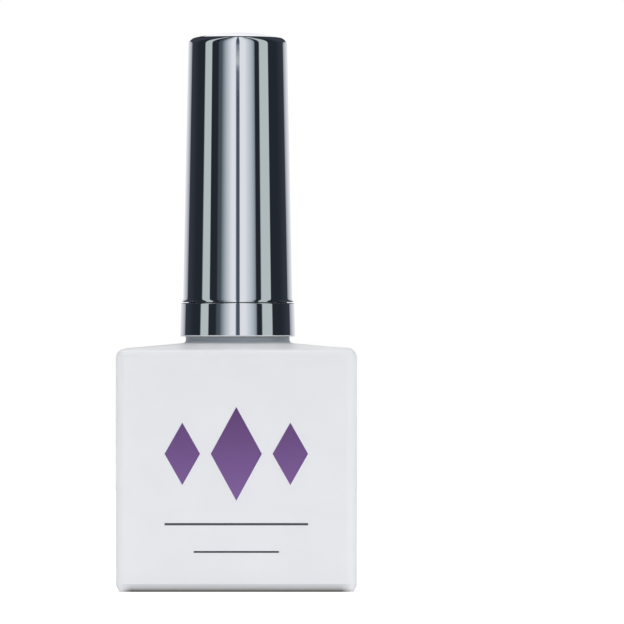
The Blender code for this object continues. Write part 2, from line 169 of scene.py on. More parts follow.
# Collar ring
COLLAR_BOTTOM = bottom("cap_collar")
COLLAR_TOP = top("cap_collar")
COLLAR_RADIUS_LOW = 8.23 * MM
COLLAR_RADIUS_HIGH = 8.1 * MM
COLLAR_BORE = 7.3 * MM
COLLAR_EDGE = 0.22 * MM
SEAM_CLOSED = 0.025 * MM  # each side of the seam reaches this far into the clearance
COLLAR_PLAY = 0.15 * MM

# Brush
STEM_RADIUS = 1.5 * MM
HEAD_RADIUS = 1.65 * MM
HEAD_TOP = top("brush_stem")
STOP_RADIUS = 2.25 * MM
STOP_TOP = 42.55 * MM
STOP_HEIGHT = 0.85 * MM
FERRULE_RADIUS = 1.95 * MM
FERRULE_TOP = 23.6 * MM
FERRULE_TAPER = 1.6 * MM
TAPER_ROUND = 1.2 * MM  # at both ends of the ferrule's taper
STEM_TIP = bottom("brush_stem")
STEM_END_ROUND = 0.25 * MM
POCKET_RADIUS = 1.4 * MM
POCKET_TOP = 23.2 * MM
POCKET_ROUND = 0.2 * MM
TUFT_TIP = bottom("bristle_tuft")
TUFT_ROOT = 1.3 * MM
TUFT_BELLY = 2.3 * MM
TUFT_BELLY_AT = 0.6  # share of the way down at which it is widest
TUFT_NARROWING = 0.55 * MM  # from there to the ends
TUFT_DOME = 0.16  # share by which the outermost filaments are shorter
TUFT_UNEVEN = 0.02  # share by which chance makes any of them shorter
TUFT_SEED = 11
ANCHOR_TOP = top("brush_anchor")
FILAMENTS = 300
FILAMENT_RADIUS = 0.075 * MM
TUBE_SIDES = 6
STATIONS = 12  # steps down each filament
FILAMENT_WANDER = 0.05  # radians that one may turn round the bundle
FILAMENT_TAPER_FROM = 0.5  # share of the way down
FILAMENT_TAPER = 0.45  # share of its radius lost over a whole length
FILAMENT_LOOP = 0.15 * MM  # above the anchor, where each filament starts
GOLDEN_ANGLE = pi * (3 - sqrt(5))

# Polish
POLISH_GAP = 0.15 * MM  # between it and the glass
POLISH_HALF = CAVITY_HALF - POLISH_GAP
POLISH_LEVEL = top("polish_fill")
POLISH_BOTTOM = bottom("polish_fill")
CHANNEL_RADIUS = 2.9 * MM
CHANNEL_BOTTOM = 4.4 * MM
CHANNEL_LIP = (0.4 * MM, 0.1 * MM)  # out and down
MENISCUS = 0.35 * MM  # how much lower the middle stands than the edges
MENISCUS_WIDTH = 2.4 * MM
MENISCUS_STEPS = 6

# Printed motif on the front: diamonds over two rules
PRINT_THICKNESS = 0.015 * MM
PRINT_BURIED = 0.05 * MM
DIAMOND = [(-1, 0), (0, -1), (1, 0), (0, 1)]
BAR = [(-1, -1), (1, -1), (1, 1), (-1, 1)]
ROW = 19.5 * MM  # height of the diamonds' middles
TALLEST = 6.6 * MM  # half the height of the middle one
DIAMONDS = [  # (middle, height, half width, half height)
    (0.0, ROW, 3.6 * MM, TALLEST),
    (-7.6 * MM, ROW, 2.5 * MM, 4.4 * MM),
    (7.6 * MM, ROW, 2.5 * MM, 4.4 * MM),
]
RULES = [(0.0, 9.6 * MM, 10.1 * MM, 0.16 * MM), (0.0, 5.7 * MM, 6.0 * MM, 0.13 * MM)]  # likewise
PURPLE = ((0.205, 0.10, 0.305), (0.105, 0.037, 0.155))
CHARCOAL = ((0.055, 0.055, 0.07), (0.07, 0.07, 0.085))
RULE_SPAN = (5 * MM, 10 * MM)  # heights over which their ink changes shade

# Fineness of the meshes
CORNER_STEPS = 12
SIDE_POINTS = 22
ARC_STEPS = 8
ROUNDING_STEPS = 5
SLOPE_STEPS = 8
SURFACE_STEPS = 5
TAPER_STEPS = 4
SHELL_CORNER_STEPS = 14
CROWN_STEPS = 12
TURNED_COLUMNS = 144
SHARP_ANGLE = radians(38)
LEAST_CORNER = 0.1 * MM

# Roundings of small edges
TIGHT = 0.05 * MM
CRISP = 0.08 * MM
EASED = 0.1 * MM
SOFT = 0.3 * MM

# Camera
CAMERA_TO_FACE = 0.9
FACE_VIEW_WIDTH = 87.8 * MM  # what the view takes in at the distance of the front face
CAMERA_RIGHT = 10.65 * MM
CAMERA_HEIGHT = 39.46 * MM
CAMERA_REACH = 20.0
SENSOR = 36.0

# Studio floor
FLOOR_RADIUS = 0.5
FLOOR_SIDES = 96
FLOOR_COLOUR = (0.93, 0.93, 0.935)
FLOOR_GLOW = 0.5


# Rings and profiles


def square_points(half, corner):
    """Points round a rounded square: an arc at each corner, then even steps to the next one."""
    inner = half - corner
    angles = [pi / 2 * step / CORNER_STEPS for step in range(CORNER_STEPS + 1)]
    shares = [step / (SIDE_POINTS + 1) for step in range(1, SIDE_POINTS + 1)]
    quarter = [(inner + corner * cos(a), inner + corner * sin(a)) for a in angles]
    quarter += [(inner - 2 * inner * share, half) for share in shares]
    turns = [(1, 0), (0, 1), (-1, 0), (0, -1)]
    return [(x * c - y * s, x * s + y * c) for c, s in turns for x, y in quarter]


BODY_ANGLES = [atan2(y, x) for x, y in square_points(BODY_HALF, BODY_CORNER)]
EVEN_ANGLES = [2 * pi * k / TURNED_COLUMNS for k in range(TURNED_COLUMNS)]


def square_ring(half, corner, height):
    return [(x, y, height) for x, y in square_points(half, corner)]


def round_ring(radius, height, angles=EVEN_ANGLES):
    return [(radius * cos(a), radius * sin(a), height) for a in angles]


def turned(profile, angles=EVEN_ANGLES):
    """Rings through (radius, height) points."""
    return [round_ring(radius, height, angles) for radius, height in profile]


def squared(half, corner, profile):
    """Rings through (inset, height) points, round a rounded square."""
    return [square_ring(half - inset, max(corner - inset, LEAST_CORNER), up) for inset, up in profile]


def blend_rings(first, last, steps):
    """Rings between two rings, evenly spaced."""
    made = []
    for step in range(1, steps):
        share = step / steps
        made.append([tuple(a + (b - a) * share for a, b in zip(p, q)) for p, q in zip(first, last)])
    return made


def arc(out, up, radius, start, end, steps=ARC_STEPS):
    """(out, up) points on an arc round a centre, from one angle in degrees to another."""
    angles = [radians(start + (end - start) * step / steps) for step in range(steps + 1)]
    return [(out + radius * cos(a), up + radius * sin(a)) for a in angles]


def edge_arc(height, radius, start, end):
    """An arc that rounds the outer edge of a squared shape, as (inset, height) points."""
    return [(radius - out, up) for out, up in arc(0, height, radius, start, end)]


def rounded(corners, closed=False, steps=ROUNDING_STEPS):
    """A profile through (radius, height, rounding) corners, each turned into an arc of that radius."""
    profile = []
    last = len(corners) - 1
    for k, (out, up, radius) in enumerate(corners):
        if radius == 0 or (not closed and k in (0, last)):
            profile.append((out, up))
            continue
        here = Vector((out, up))
        before = (Vector(corners[k - 1][:2]) - here).normalized()
        after = (Vector(corners[(k + 1) % len(corners)][:2]) - here).normalized()
        half_angle = before.angle(after) / 2
        centre = here + (before + after).normalized() * (radius / sin(half_angle))
        start = here + before * (radius / tan(half_angle)) - centre
        end = here + after * (radius / tan(half_angle)) - centre
        first = atan2(start.y, start.x)
        swing = atan2(start.x * end.y - start.y * end.x, start.dot(end))
        for step in range(steps + 1):
            angle = first + swing * step / steps
            profile.append((centre.x + radius * cos(angle), centre.y + radius * sin(angle)))
    return profile


def ridge_share(angle, height, start):
    """How far up the thread's ridge a point of the wall is: 0 beside it, 1 on its crest."""
    turn = ((angle - THREAD_ANGLE) % (2 * pi)) / (2 * pi)
    share = 0.0
    for along in (turn, turn + 1):
        if along <= TURNS:
            away = abs(height - start - PITCH * along)
            flank = (THREAD_ROOT_HALF - away) / (THREAD_ROOT_HALF - THREAD_TIP_HALF)
            fade = min(1.0, along / THREAD_FADE, (TURNS - along) / THREAD_FADE)
            share = max(share, min(1.0, flank) * fade)
    return share * share * (3 - 2 * share)


def threaded_wall(root, crest, low, high, start, angles):
    """Rings up a round wall that carries the thread's ridge."""
    count = round((high - low) / WALL_STEP)
    rings = []
    for step in range(count + 1):
        height = low + (high - low) * step / count
        radii = [root + (crest - root) * ridge_share(a, height, start) for a in angles]
        rings.append([(r * cos(a), r * sin(a), height) for r, a in zip(radii, angles)])
    return rings


# Meshes


def place(name, data):
    """An object in the scene for a mesh, light or camera."""
    piece = bpy.data.objects.new(name, data)
    bpy.context.collection.objects.link(piece)
    return piece


def mesh_data(name, mesh):
    """What was drawn in a bmesh, as an object's mesh."""
    data = bpy.data.meshes.new(name)
    mesh.to_mesh(data)
    mesh.free()
    return data


def smooth(data):
    """Shade a mesh smooth, all but its sharp edges."""
    data.shade_smooth()
    data.set_sharp_from_angle(angle=SHARP_ANGLE)


def new_piece(name, points, faces):
    data = bpy.data.meshes.new(name)
    data.from_pydata(points, [], faces)
    data.validate()
    smooth(data)
    return place(name, data)


def even_shading(piece):
    """Wide faces set the shading where they meet narrow ones, so that flat stays flat."""
    weigh = piece.modifiers.new("even_shading", "WEIGHTED_NORMAL")
    weigh.keep_sharp = True
    return piece


def skin(name, rings, closed=False):
    """A closed surface over rings, up its outside and down its inside.

    The first and last rings are joined to each other or, if it isn't closed, to a middle point.
    Each ring's faces follow those of the ring before it.
    """
    columns = len(rings[0])
    points = [point for ring in rings for point in ring]
    faces = []
    after = [(k + 1) % columns for k in range(columns)]
    if not closed:
        first, last = len(points), len(points) + 1
        points += [(0.0, 0.0, rings[0][0][2]), (0.0, 0.0, rings[-1][0][2])]
        faces += [(first, after[k], k) for k in range(columns)]
    joined = len(rings) if closed else len(rings) - 1
    for n in range(joined):
        here = n * columns
        there = (n + 1) % len(rings) * columns
        faces += [(here + k, here + after[k], there + after[k], there + k) for k in range(columns)]
    if not closed:
        here = (len(rings) - 1) * columns
        faces += [(last, here + k, here + after[k]) for k in range(columns)]
    return even_shading(new_piece(name, points, faces))


def radial_block(inner, outer, offset, width, low, high, turn):
    """An upright plate that runs out from the axis, set off to one side of a radius."""
    mesh = bmesh.new()
    bmesh.ops.create_cube(mesh, size=1.0)
    size = (outer - inner, width, high - low)
    centre = ((inner + outer) / 2, offset, (low + high) / 2)
    for vert in mesh.verts:
        x, y, z = (vert.co[k] * size[k] + centre[k] for k in range(3))
        vert.co = (x * cos(turn) - y * sin(turn), x * sin(turn) + y * cos(turn), z)
    return place("block", mesh_data("block", mesh))


def join_blocks(piece, blocks):
    """Unite plates with a piece, and keep the result as its mesh."""
    piece.modifiers.clear()
    for block in blocks:
        change = piece.modifiers.new("join", "BOOLEAN")
        change.operation = "UNION"
        change.solver = "EXACT"
        change.object = block
    graph = bpy.context.evaluated_depsgraph_get()
    merged = bpy.data.meshes.new_from_object(piece.evaluated_get(graph))
    piece.modifiers.clear()
    piece.data = merged
    merged.name = piece.name
    for block in blocks:
        bpy.data.objects.remove(block, do_unlink=True)
    smooth(merged)
    even_shading(piece)


# Materials


# Shades of each finish, between which its pattern runs
PLASTIC_SHADES = ((0.75, 0.75, 0.70), (0.81, 0.81, 0.78))
FOAM_SHADES = ((0.92, 0.91, 0.88), (0.78, 0.77, 0.74))
FILM_SHADES = ((0.90, 0.90, 0.875), (0.94, 0.94, 0.925))
PAPER_SHADES = ((0.86, 0.86, 0.84), (0.92, 0.92, 0.905))
BRASS_SHADES = ((0.70, 0.55, 0.27), (0.79, 0.64, 0.34))
POLISH_SHADES = ((0.43, 0.222, 0.232), (0.479, 0.258, 0.266))

# Roughness of each finish, from its glossiest patches to its dullest
LACQUER_GLOSS = (0.06, 0.11)
GLASS_GLOSS = (0.0, 0.03)
MIRROR_GLOSS = (0.018, 0.045)
PLASTIC_GLOSS = (0.30, 0.46)
FOAM_GLOSS = (0.75, 0.95)
FILM_GLOSS = (0.20, 0.36)
PAPER_GLOSS = (0.55, 0.70)
BRASS_GLOSS = (0.22, 0.42)
POLISH_GLOSS = (0.04, 0.10)
INK_GLOSS = (0.29, 0.33)
WET_ROUGHNESS = 0.12  # where polish wets the stem and the bristles
WET_EDGE = 0.05 * MM  # half the height over which it ends
DRY_CLOUDS = (0.8, 1.25)  # shares of a dry finish's brightness
FOAM_CELL = 0.16 * MM
FOAM_WALLS = (0.1, 0.6)  # in cells from a cell's middle, over which it darkens, with painted shade in the creases between cells

# The lacquer, from the heel to the neck, with painted shade at the heel and under the collar
COAT = (0.81, 0.806, 0.815)
COAT_CLOUDS = (0.99, 1.01)  # shares of its brightness
# Height of the painted contact shade at the heel
HEEL_SHADE_HEIGHT = 1.25 * MM
HEEL_SHADE_TONES = [  # painted contact shade up the heel, darkest against the floor, as (share of its height, colour)
    (0.0, (0.06, 0.047, 0.035)), (0.2, (0.10, 0.082, 0.068)), (0.32, (0.285, 0.28, 0.275)),
    (0.55, (0.485, 0.49, 0.495)), (0.9, (0.655, 0.655, 0.665)), (1.0, COAT),
]
HEEL_SHADE_CORNER = (14.8 * MM, 16.3 * MM)  # where the heel's painted shade fades towards each upright corner, which turns to the side lights
HEEL_SHADE_CORNER_SHARE = 0.8  # of the way back to white
LEDGE_SHADE_TONES = [  # painted shade of the collar up the fillet and the ledge's side, darkest just under the collar
    (0.0, COAT), (0.14, (0.72, 0.73, 0.75)), (0.3, (0.46, 0.49, 0.53)), (0.85, (0.46, 0.49, 0.53)),
    (1.0, (0.26, 0.28, 0.295)),
]
# The lighter grey over the ledge's flat top, inside the collar, into which the painted shade of its
# side fades
LEDGE_TOP_TONE = (0.66, 0.675, 0.69)
LEDGE_TOP_FADE = (COLLAR_BOTTOM + 0.03 * MM, LEDGE_TOP - 0.02 * MM)
DULL_RISE = (33.2 * MM, 34.2 * MM)  # heights between which the coat turns duller up the shoulder
DULLNESS = 0.28  # added to its roughness


def fill(node, values):
    """Set plain values on a node's sockets, by name."""
    for name, value in values.items():
        node.inputs[name].default_value = value


def new_material(name, colour, roughness, metallic=0.0):
    made = bpy.data.materials.new(name)
    made.use_nodes = True
    shader = made.node_tree.nodes["Principled BSDF"]
    fill(shader, {"Base Color": (*colour, 1.0), "Roughness": roughness, "Metallic": metallic})
    return made, made.node_tree, shader


def feed(tree, socket, value):
    """Link an output to a socket, or set a plain value on it."""
    if isinstance(value, bpy.types.NodeSocket):
        tree.links.new(value, socket)
    else:
        socket.default_value = value


def calc(tree, operation, *values, kind="ShaderNodeMath"):
    node = tree.nodes.new(kind)
    node.operation = operation
    for socket, value in zip(node.inputs, values):
        feed(tree, socket, value)
    return node.outputs[0]


def split(tree, vector):
    """A vector's X, Y and Z outputs."""
    parts = tree.nodes.new("ShaderNodeSeparateXYZ")
    tree.links.new(vector, parts.inputs["Vector"])
    return [parts.outputs[axis] for axis in "XYZ"]


def object_point(tree, stretch=(1.0, 1.0, 1.0)):
    """Object coordinates, scaled along each axis."""
    coordinates = tree.nodes.new("ShaderNodeTexCoord")
    mapping = tree.nodes.new("ShaderNodeMapping")
    fill(mapping, {"Scale": stretch})
    tree.links.new(coordinates.outputs["Object"], mapping.inputs["Vector"])
    return mapping.outputs["Vector"]


def noise(tree, size, detail=2.0, stretch=(1.0, 1.0, 1.0)):
    """Noise from 0 to 1 whose blotches are about this size, in metres."""
    node = tree.nodes.new("ShaderNodeTexNoise")
    fill(node, {"Scale": 1.0 / size, "Detail": detail})
    tree.links.new(object_point(tree, stretch), node.inputs["Vector"])
    return node.outputs["Fac"]


def spread(tree, value, low, high, start=0.3, end=0.7):
    """Map a value between start and end to low and high, and hold it there outside them.

    Without a start and an end, it takes most of what noise gives.
    """
    node = tree.nodes.new("ShaderNodeMapRange")
    feed(tree, node.inputs["Value"], value)
    fill(node, {"From Min": start, "From Max": end, "To Min": low, "To Max": high})
    return node.outputs["Result"]


def tint(tree, share, first, second):
    """A colour between two others, by a share from 0 to 1."""
    node = tree.nodes.new("ShaderNodeMix")
    node.data_type = "RGBA"
    feed(tree, node.inputs["Factor"], share)
    colour_sockets = [s for s in node.inputs if s.type == "RGBA"]
    for socket, colour in zip(colour_sockets, (first, second)):
        feed(tree, socket, colour if isinstance(colour, bpy.types.NodeSocket) else (*colour, 1.0))
    return [s for s in node.outputs if s.type == "RGBA"][0]


def colour_ramp(tree, share, stops):
    """A ramp through (share, colour) stops."""
    ramp = tree.nodes.new("ShaderNodeValToRGB")
    tree.links.new(share, ramp.inputs["Fac"])
    elements = ramp.color_ramp.elements
    elements.remove(elements[1])
    elements[0].position = stops[0][0]
    elements[0].color = (*stops[0][1], 1.0)
    for position, colour in stops[1:]:
        elements.new(position).color = (*colour, 1.0)
    return ramp.outputs["Color"]


def mottle(tree, pattern, shades, *span):
    """A colour that follows a pattern from one shade to another."""
    return tint(tree, spread(tree, pattern, 0.0, 1.0, *span), *shades)


def paint(tree, shader, colour, gloss):
    """Give a shader its colour and its roughness."""
    tree.links.new(colour, shader.inputs["Base Color"])
    tree.links.new(gloss, shader.inputs["Roughness"])


def relief(tree, shader, height, depth):
    """Bump of a real depth in metres."""
    node = tree.nodes.new("ShaderNodeBump")
    fill(node, {"Strength": 1.0, "Distance": depth})
    tree.links.new(height, node.inputs["Height"])
    tree.links.new(node.outputs["Normal"], shader.inputs["Normal"])


def scatter(shader, weight, radius, depth):
    """Let light a little way into a material."""
    fill(shader, {"Subsurface Weight": weight, "Subsurface Radius": radius, "Subsurface Scale": depth})


def coat_with_painted_shade(tree, cloud, x, y, height):
    """White, with painted contact shade along the heel and painted shade of the collar on the ledge at
    the neck.
    """
    coat = mottle(tree, cloud, [tuple(part * share for part in COAT) for share in COAT_CLOUDS])
    # Painted contact shade up the heel, eased back towards white near the upright corners
    heel = colour_ramp(tree, spread(tree, height, 0.0, 1.0, 0.0, HEEL_SHADE_HEIGHT), HEEL_SHADE_TONES)
    nearer = calc(tree, "MINIMUM", calc(tree, "ABSOLUTE", x), calc(tree, "ABSOLUTE", y))
    heel = tint(tree, spread(tree, nearer, 0.0, HEEL_SHADE_CORNER_SHARE, *HEEL_SHADE_CORNER), heel, COAT)
    coat = tint(tree, calc(tree, "LESS_THAN", height, HEEL_SHADE_HEIGHT), coat, heel)
    # Painted shade of the collar up the fillet and the ledge's side, fading to a lighter grey over its
    # flat top
    ledge = colour_ramp(tree, spread(tree, height, 0.0, 1.0, NECK_FOOT, COLLAR_BOTTOM), LEDGE_SHADE_TONES)
    coat = tint(tree, calc(tree, "GREATER_THAN", height, NECK_FOOT), coat, ledge)
    return tint(tree, spread(tree, height, 0.0, 1.0, *LEDGE_TOP_FADE), coat, LEDGE_TOP_TONE)


def lacquer():
    """Sprayed white gloss with faint orange peel, with painted shade at the heel and on the ledge below
    the masked neck.
    """
    made, tree, shader = new_material("white_lacquer", COAT, roughness=0.08)
    fill(shader, {"IOR": 1.5})
    cloud = noise(tree, size=6 * MM, detail=3.0)
    point = split(tree, object_point(tree))
    dull = spread(tree, point[2], 0.0, DULLNESS, *DULL_RISE)
    gloss = calc(tree, "ADD", spread(tree, cloud, *LACQUER_GLOSS), dull)
    paint(tree, shader, coat_with_painted_shade(tree, cloud, *point), gloss)
    relief(tree, shader, noise(tree, size=1.6 * MM, detail=1.0), depth=0.0012 * MM)
    return made


def clear_glass():
    """Moulded flint glass, a little uneven."""
    made, tree, shader = new_material("clear_glass", (0.97, 0.99, 0.985), roughness=0.01)
    fill(shader, {"Transmission Weight": 1.0, "IOR": 1.52})
    gloss = spread(tree, noise(tree, size=3 * MM), *GLASS_GLOSS)
    tree.links.new(gloss, shader.inputs["Roughness"])
    relief(tree, shader, noise(tree, size=2.2 * MM), depth=0.004 * MM)
    return made


def mirror(name):
    """Bright metal with slight drawing waves along its height and a breath of haze."""
    made, tree, shader = new_material(name, (0.885, 0.895, 0.91), roughness=0.03, metallic=1.0)
    gloss = spread(tree, noise(tree, size=5 * MM, detail=4.0), *MIRROR_GLOSS)
    tree.links.new(gloss, shader.inputs["Roughness"])
    waves = noise(tree, size=2.5 * MM, detail=1.0, stretch=(1.0, 1.0, 0.12))
    relief(tree, shader, waves, depth=0.0016 * MM)
    return made


def moulded_plastic():
    """Natural polypropylene, slightly cloudy."""
    made, tree, shader = new_material("natural_plastic", (0.78, 0.78, 0.74), roughness=0.38)
    scatter(shader, weight=0.25, radius=(1.0, 0.95, 0.85), depth=0.6 * MM)
    colour = mottle(tree, noise(tree, size=2.5 * MM, detail=3.0), PLASTIC_SHADES)
    paint(tree, shader, colour, spread(tree, noise(tree, size=0.7 * MM), *PLASTIC_GLOSS))
    relief(tree, shader, noise(tree, size=0.12 * MM), depth=0.002 * MM)
    return made


def foam():
    """Fine closed cells, domed, with painted shade in the creases where they meet."""
    made, tree, shader = new_material("liner_foam", (0.88, 0.87, 0.84), roughness=0.85)
    cells = tree.nodes.new("ShaderNodeTexVoronoi")
    fill(cells, {"Scale": 1.0 / FOAM_CELL})
    tree.links.new(object_point(tree), cells.inputs["Vector"])
    distance = cells.outputs["Distance"]
    # Painted shade where the cells meet, darker towards their walls
    colour = mottle(tree, distance, FOAM_SHADES, *FOAM_WALLS)
    paint(tree, shader, colour, spread(tree, distance, *FOAM_GLOSS, *FOAM_WALLS))
    relief(tree, shader, distance, depth=-0.03 * MM)
    return made


def film():
    """A thin polyethylene facing, satin, with a pressed grain."""
    made, tree, shader = new_material("liner_film", (0.92, 0.92, 0.90), roughness=0.28)
    grain = noise(tree, size=0.25 * MM, detail=3.0)
    colour = mottle(tree, noise(tree, size=2 * MM), FILM_SHADES)
    paint(tree, shader, colour, spread(tree, grain, *FILM_GLOSS))
    relief(tree, shader, grain, depth=0.004 * MM)
    return made


def paper():
    """Uncoated label stock, with fibres."""
    made, tree, shader = new_material("label_paper", (0.90, 0.90, 0.88), roughness=0.62)
    fibres = noise(tree, size=0.5 * MM, detail=6.0, stretch=(1.0, 0.25, 1.0))
    paint(tree, shader, mottle(tree, fibres, PAPER_SHADES), spread(tree, fibres, *PAPER_GLOSS))
    relief(tree, shader, fibres, depth=0.006 * MM)
    return made


def brass():
    """Sheet brass, scratched one way."""
    made, tree, shader = new_material("anchor_brass", (0.75, 0.60, 0.30), roughness=0.3, metallic=1.0)
    scratches = noise(tree, size=0.3 * MM, detail=4.0, stretch=(0.15, 1.0, 1.0))
    paint(tree, shader, mottle(tree, scratches, BRASS_SHADES), spread(tree, scratches, *BRASS_GLOSS))
    relief(tree, shader, scratches, depth=0.002 * MM)
    return made


def polish():
    """Creamy mauve gel, with slow swirls of pigment."""
    made, tree, shader = new_material("mauve_polish", POLISH_SHADES[1], roughness=0.06)
    scatter(shader, weight=0.15, radius=(1.0, 0.5, 0.45), depth=0.4 * MM)
    swirl = noise(tree, size=5 * MM, detail=3.0)
    gloss = spread(tree, noise(tree, size=3 * MM), *POLISH_GLOSS)
    paint(tree, shader, mottle(tree, swirl, POLISH_SHADES), gloss)
    relief(tree, shader, swirl, depth=0.01 * MM)
    return made


def wetted(name, colour, roughness, wet_top, ragged, grain):
    """A dry finish above a ragged line, and a film of polish below it."""
    made, tree, shader = new_material(name, colour, roughness)
    height = split(tree, object_point(tree))[2]
    runs = noise(tree, size=0.9 * MM, detail=3.0, stretch=(1.0, 1.0, 0.3))
    line = calc(tree, "ADD", height, spread(tree, runs, -ragged, ragged))
    wet = spread(tree, line, 1.0, 0.0, wet_top - WET_EDGE, wet_top + WET_EDGE)
    pigment = mottle(tree, noise(tree, size=0.8 * MM), POLISH_SHADES)
    dry_shades = [tuple(min(1.0, part * share) for part in colour) for share in DRY_CLOUDS]
    dry = mottle(tree, noise(tree, grain), dry_shades)
    gloss = spread(tree, wet, roughness, WET_ROUGHNESS, 0.0, 1.0)
    paint(tree, shader, tint(tree, wet, dry, pigment), gloss)
    relief(tree, shader, noise(tree, grain), depth=0.003 * MM)
    return made


def ink(name, low_colour, high_colour, low, high):
    """Screen-printed ink that runs from one shade to another up the print."""
    made, tree, shader = new_material(name, low_colour, roughness=0.3)
    height = split(tree, object_point(tree))[2]
    colour = mottle(tree, height, (low_colour, high_colour), low, high)
    paint(tree, shader, colour, spread(tree, noise(tree, size=3 * MM), *INK_GLOSS))
    relief(tree, shader, noise(tree, size=0.5 * MM, detail=1.0), depth=0.0003 * MM)
    return made


# Pieces


def settle(piece, body, slot_name, node, *finishes):
    """Finish a piece, and say which body it rides and the CAD node it replaces. Its slot name is not
    used.
    """
    for finish in finishes:
        piece.data.materials.append(finish)
    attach(piece, body)
    if node:
        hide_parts(node)


def coated_rings(ledge_foot, ledge_top):
    """Rings of the coated outside, from under the base to the top of the ledge."""
    base = [
        square_ring(RECESS_HALF / 2, RECESS_CORNER, RECESS_DEPTH),
        square_ring(RECESS_HALF - RECESS_DRAFT, RECESS_CORNER, RECESS_DEPTH),
        square_ring(RECESS_HALF - RECESS_BEVEL, RECESS_CORNER, RECESS_BEVEL),
        square_ring(RECESS_HALF, RECESS_CORNER, 0.0),
    ]
    heel = edge_arc(EDGE_RADIUS, EDGE_RADIUS, -90, 0)
    shoulder_edge = edge_arc(SHOULDER_TANGENT, EDGE_RADIUS, 0, 90 - SHOULDER_SLOPE)
    body = squared(BODY_HALF, BODY_CORNER, heel + shoulder_edge)
    foot = turned(ledge_foot, BODY_ANGLES)
    slope = blend_rings(body[-1], foot[0], SLOPE_STEPS)
    return base + body + slope + foot + turned(ledge_top, BODY_ANGLES)


def clear_rings(neck_foot):
    """Rings of the bare glass, up the neck, down its bore and round the cavity."""
    wall = threaded_wall(
        NECK_ROOT, NECK_CREST, NECK_WALL_FOOT, RIM - RIM_ROUND, BOTTLE_THREAD_START, BODY_ANGLES
    )
    rim = arc(NECK_ROOT - RIM_ROUND, RIM - RIM_ROUND, RIM_ROUND, 0, 90)[1:]
    rim += arc(BORE + BORE_ROUND, RIM - BORE_ROUND, BORE_ROUND, 90, 180)
    upper = edge_arc(CAVITY_TOP - CAVITY_EDGE, CAVITY_EDGE, 90, 0)
    lower = edge_arc(CAVITY_FLOOR + CAVITY_EDGE, CAVITY_EDGE, 0, -90)
    cavity = squared(CAVITY_HALF, CAVITY_CORNER, upper + lower)
    cavity.append(square_ring(CAVITY_HALF / 2, CAVITY_CORNER, CAVITY_FLOOR))
    return turned(neck_foot, BODY_ANGLES) + wall + turned(rim + THROAT, BODY_ANGLES) + cavity


def bottle():
    """One wall of glass, coated from the base to the ledge under the cap."""
    fillet = arc(LEDGE_RADIUS + NECK_FILLET, NECK_FOOT + NECK_FILLET, NECK_FILLET, FILLET_START, 180)
    ledge = rounded([
        (LEDGE_RADIUS, fillet[-1][1], 0),
        (LEDGE_RADIUS, LEDGE_TOP, LEDGE_ROUND),
        (NECK_ROOT, LEDGE_TOP, NECK_ROOT_FILLET),
        (NECK_ROOT, NECK_ROOT_TOP, 0),
    ])
    flat_end = ROUNDING_STEPS + 3  # past the ledge's start, its rounded edge and its flat top
    coated = coated_rings(fillet, ledge[1:flat_end])
    piece = skin("bottle_glass", coated + clear_rings(ledge[flat_end:]))
    settle(piece, "bottle", "lacquered_glass", "glass_bottle", lacquer(), clear_glass())
    coated_faces = len(coated) * len(BODY_ANGLES)
    for face in piece.data.polygons:
        face.material_index = 0 if face.index < coated_faces else 1


def polish_in_bottle():
    """The liquid, a little lower in the middle than at the glass, round the brush's room."""
    edge = CAVITY_EDGE - POLISH_GAP
    profile = edge_arc(POLISH_BOTTOM + edge, edge, -90, 0)
    profile.append((0.0, POLISH_LEVEL))
    for step in range(1, MENISCUS_STEPS + 1):
        share = step / MENISCUS_STEPS
        profile.append((MENISCUS_WIDTH * share, POLISH_LEVEL - MENISCUS * (1 - (1 - share) ** 2)))
    rings = [square_ring(POLISH_HALF / 2, CAVITY_CORNER, POLISH_BOTTOM)]
    rings += squared(POLISH_HALF, CAVITY_CORNER, profile)
    surface = POLISH_LEVEL - MENISCUS
    out, down = CHANNEL_LIP
    channel = [(CHANNEL_RADIUS + out, surface), (CHANNEL_RADIUS, surface - down)]
    channel.append((CHANNEL_RADIUS, CHANNEL_BOTTOM))
    channel_rings = turned(channel, BODY_ANGLES)
    rings += blend_rings(rings[-1], channel_rings[0], SURFACE_STEPS) + channel_rings
    settle(skin("polish_liquid", rings), "bottle", "polish", "polish_fill", polish())


def post_profile():
    """Down the socket for the stem, and up the post, past its bead, to the skirt."""
    socket = [
        (SOCKET_RADIUS, SOCKET_TOP),
        (SOCKET_RADIUS, POST_BOTTOM + BEAD_FOOT),
        (SOCKET_RADIUS + BEAD_FOOT, POST_BOTTOM),
    ]
    return socket + rounded([
        (SOCKET_RADIUS + BEAD_FOOT, POST_BOTTOM, 0),
        (POST_RADIUS, POST_BOTTOM, TIGHT),
        (POST_BEAD, POST_BOTTOM + BEAD_FOOT / 2, CRISP),
        (POST_BEAD, POST_BOTTOM + BEAD_FOOT, TIGHT),
        (POST_RADIUS, POST_BOTTOM + 2 * BEAD_FOOT, EASED),
        (POST_RADIUS, PLATE_BOTTOM, SOFT),
        (SKIRT_BORE, PLATE_BOTTOM, SOFT),
        (SKIRT_BORE, SKIRT_WALL_TOP, 0),
    ])[1:-1]


